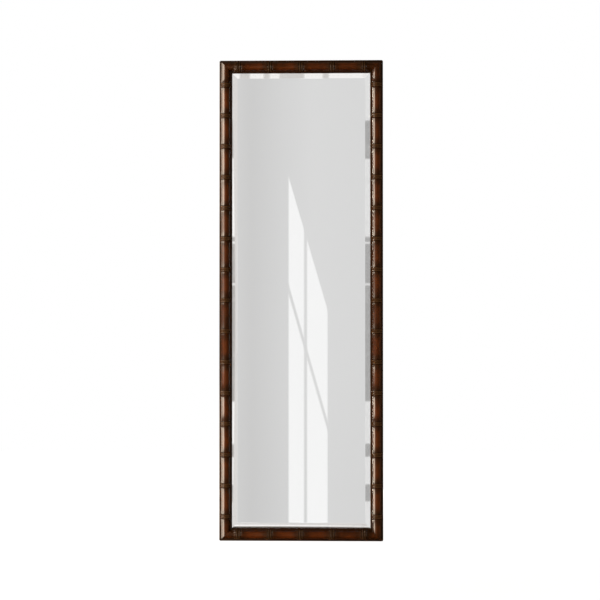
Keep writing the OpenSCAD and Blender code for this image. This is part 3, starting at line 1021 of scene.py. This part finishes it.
# less of it high up and low down, a little from straight above, and more from behind
gloss = gloss * (1 - abs(to_z).rises(0.3, 0.6) * 0.9) + to_z.rises(0.7, 0.95) * GLOSS_ABOVE
gloss = gloss + to_y.rises(0.6, 0.95) * GLOSS_BACK
glass_level = MIRROR_GREY * (1 - abs(to_z).rises(0.8, 0.95) * 0.8)
level = by_camera + by_glass * glass_level + by_gloss * gloss + others * SOFT_LIGHT
tint = sky.mix(by_gloss, (1, 1, 1, 1), ROOM_WARMTH)
shine = sky.node("ShaderNodeBackground", values={"Color": tint, "Strength": level})
sky.node("ShaderNodeOutputWorld", values={"Surface": shine})
print("plain light from all round:", SOFT_LIGHT, "and beyond the card the mirror finds", MIRROR_GREY)

# %% Floor
FLOOR_DROP, FLOOR_SIZE = 0.25, 12
FLOOR_SHARE, FLOOR_NEAR, FLOOR_FAR, FLOOR_GROWS = 0.75, 1.12, 1.3, (2.2, 5.0)
bpy.ops.object.select_all(action="DESELECT")
bpy.ops.mesh.primitive_plane_add(size=FLOOR_SIZE, location=(0, 0, stile_low.z - FLOOR_DROP))
floor = settle(bpy.context.object)
floor.name = "floor"
pale = Finish("pale_floor", Roughness=0.8)
pale.set("Base Color", (0.8, 0.8, 0.8, 1))
away_from_foot = pale.node("ShaderNodeVectorMath", {"operation": "LENGTH"}, {0: pale.place()}, 1)
near, far = ((level, level, level, 1) for level in (FLOOR_NEAR, FLOOR_FAR))
white = pale.mix(away_from_foot.rises(*FLOOR_GROWS), near, far)
to_camera = pale.node("ShaderNodeEmission", values={"Color": white})
lit = Number(pale, pale.shader.outputs[0])
share = seen_by(pale, "Is Camera Ray") * FLOOR_SHARE
either = pale.node("ShaderNodeMixShader", values={0: share, 1: lit, 2: to_camera})
pale.feed(pale.tree.nodes["Material Output"].inputs["Surface"], either)
floor.data.materials.append(pale.material)
floor.visible_glossy = floor.visible_transmission = False
print("the floor lies", FLOOR_DROP, "m below the frame")

# %% [markdown]
# ## Lamps
# The photograph's light comes from the left through a wide window. Three tall soft lamps stand
# there, each farther round than the last, and light the wood from that side. A faint one on the
# right traces the outer edge, and two more fill in the right side and the back for other views.
# Varnish shows only the faint one: what else it shows is the work of the cards that follow.

# %% Lamps
MIDDLE = Vector((0, FRONT_Y, MIDDLE_Z))
WARM, DULL, PLAIN = (1, 0.88, 0.72), (1, 0.8, 0.6), (1, 0.95, 0.88)
LAMP_AWAY, LAMP_H = 3.6, 3.2
WINDOW_LIGHTS = [("curtain_light", 37, 1.0, 3.2), ("window_light", 60, 1.9, 9.0),
                 ("far_window_light", 98, 2.6, 4.0)]


def towards(bearing):
    """The level way to a lamp. bearing is from the camera's side towards the left."""
    angle = math.radians(bearing)
    return Vector((-math.sin(angle), -math.cos(angle), 0))


def lamp(name, bearing, wide, radiance, colour=PLAIN, in_gloss=False):
    """A soft upright rectangle that faces the frame, for plain light that no varnish shows."""
    away = towards(bearing)
    turned = away.to_track_quat("Z", "Y").to_euler()
    bpy.ops.object.light_add(type="AREA", location=MIDDLE + LAMP_AWAY * away, rotation=turned)
    made = bpy.context.object
    made.name = name
    made.data.shape, made.data.size, made.data.size_y = "RECTANGLE", wide, LAMP_H
    made.data.energy = radiance * math.pi * wide * LAMP_H
    made.data.color = colour
    made.visible_camera = made.visible_transmission = False
    made.visible_glossy = in_gloss
    return made


for name, bearing, wide, radiance in WINDOW_LIGHTS:
    lamp(name, bearing, wide, radiance, WARM)
lamp("wall_right", -90, 0.8, 0.3, DULL, True)
lamp("fill_right", -105, 2.2, 2.8)
lamp("fill_behind", 180, 2.2, 3.5)
print("lamps:", len(bpy.data.lights))

# %% [markdown]
# ## Window cards for the varnish
# A polished cane shows a window as one bright line along it. In the photo that line is strong
# at the top and near the foot and faint in between, where a rail and a sill of the window
# break it. So shining cards stand near the frame, graded from end to end, which light nothing
# and are there for varnish alone. They stand near because a cane's swellings turn the view by
# only a few degrees, and a near card's grading passes quickly as it turns.

# %% Window cards for the varnish
CARD_AWAY, CARD_END = 1.5, 1.3
FOOT_GRADING = [(-0.5, 1.0), (-0.41, 0.25), (-0.3, 0.03), (-0.14, 0.05)]
GRADING = FOOT_GRADING + [(0.05, 0.2), (0.2, 0.34), (0.38, 0.52), (0.5, 1.0)]


def window_card(name, bearing, wide, radiance, colour, in_glass):
    """A shining upright card that only varnish sees, and the mirror too where in_glass is true."""
    away = towards(bearing)
    bpy.ops.object.select_all(action="DESELECT")
    bpy.ops.mesh.primitive_plane_add(
        size=1, location=MIDDLE + CARD_AWAY * away, rotation=away.to_track_quat("Z", "Y").to_euler()
    )
    made = bpy.context.object
    made.name = name
    made.scale = (wide, 2 * CARD_END, 1)
    settle(made)
    shining, maker = glow_tree(name)
    height = maker.split(maker.place())[2] - MIDDLE_Z
    steps = []
    for at, share in GRADING:
        steps.append(((at + CARD_END) / (2 * CARD_END), (*[radiance * share * c for c in colour], 1)))
    finish_glow(maker, maker.ramp((height + CARD_END) / (2 * CARD_END), steps))
    made.data.materials.append(shining)
    made.visible_camera = made.visible_diffuse = made.visible_shadow = False
    made.visible_transmission = in_glass


window_card("curtain_card", 42, 0.42, 5.0, DULL, False)
window_card("window_card", 65, 0.8, 15.0, WARM, True)
window_card("far_window_card", 102, 1.08, 6.5, WARM, True)
cards = [made for made in bpy.data.objects if made.name.endswith("_card")]
print("cards, with the one behind the camera:", len(cards))

# %% The json module
import json
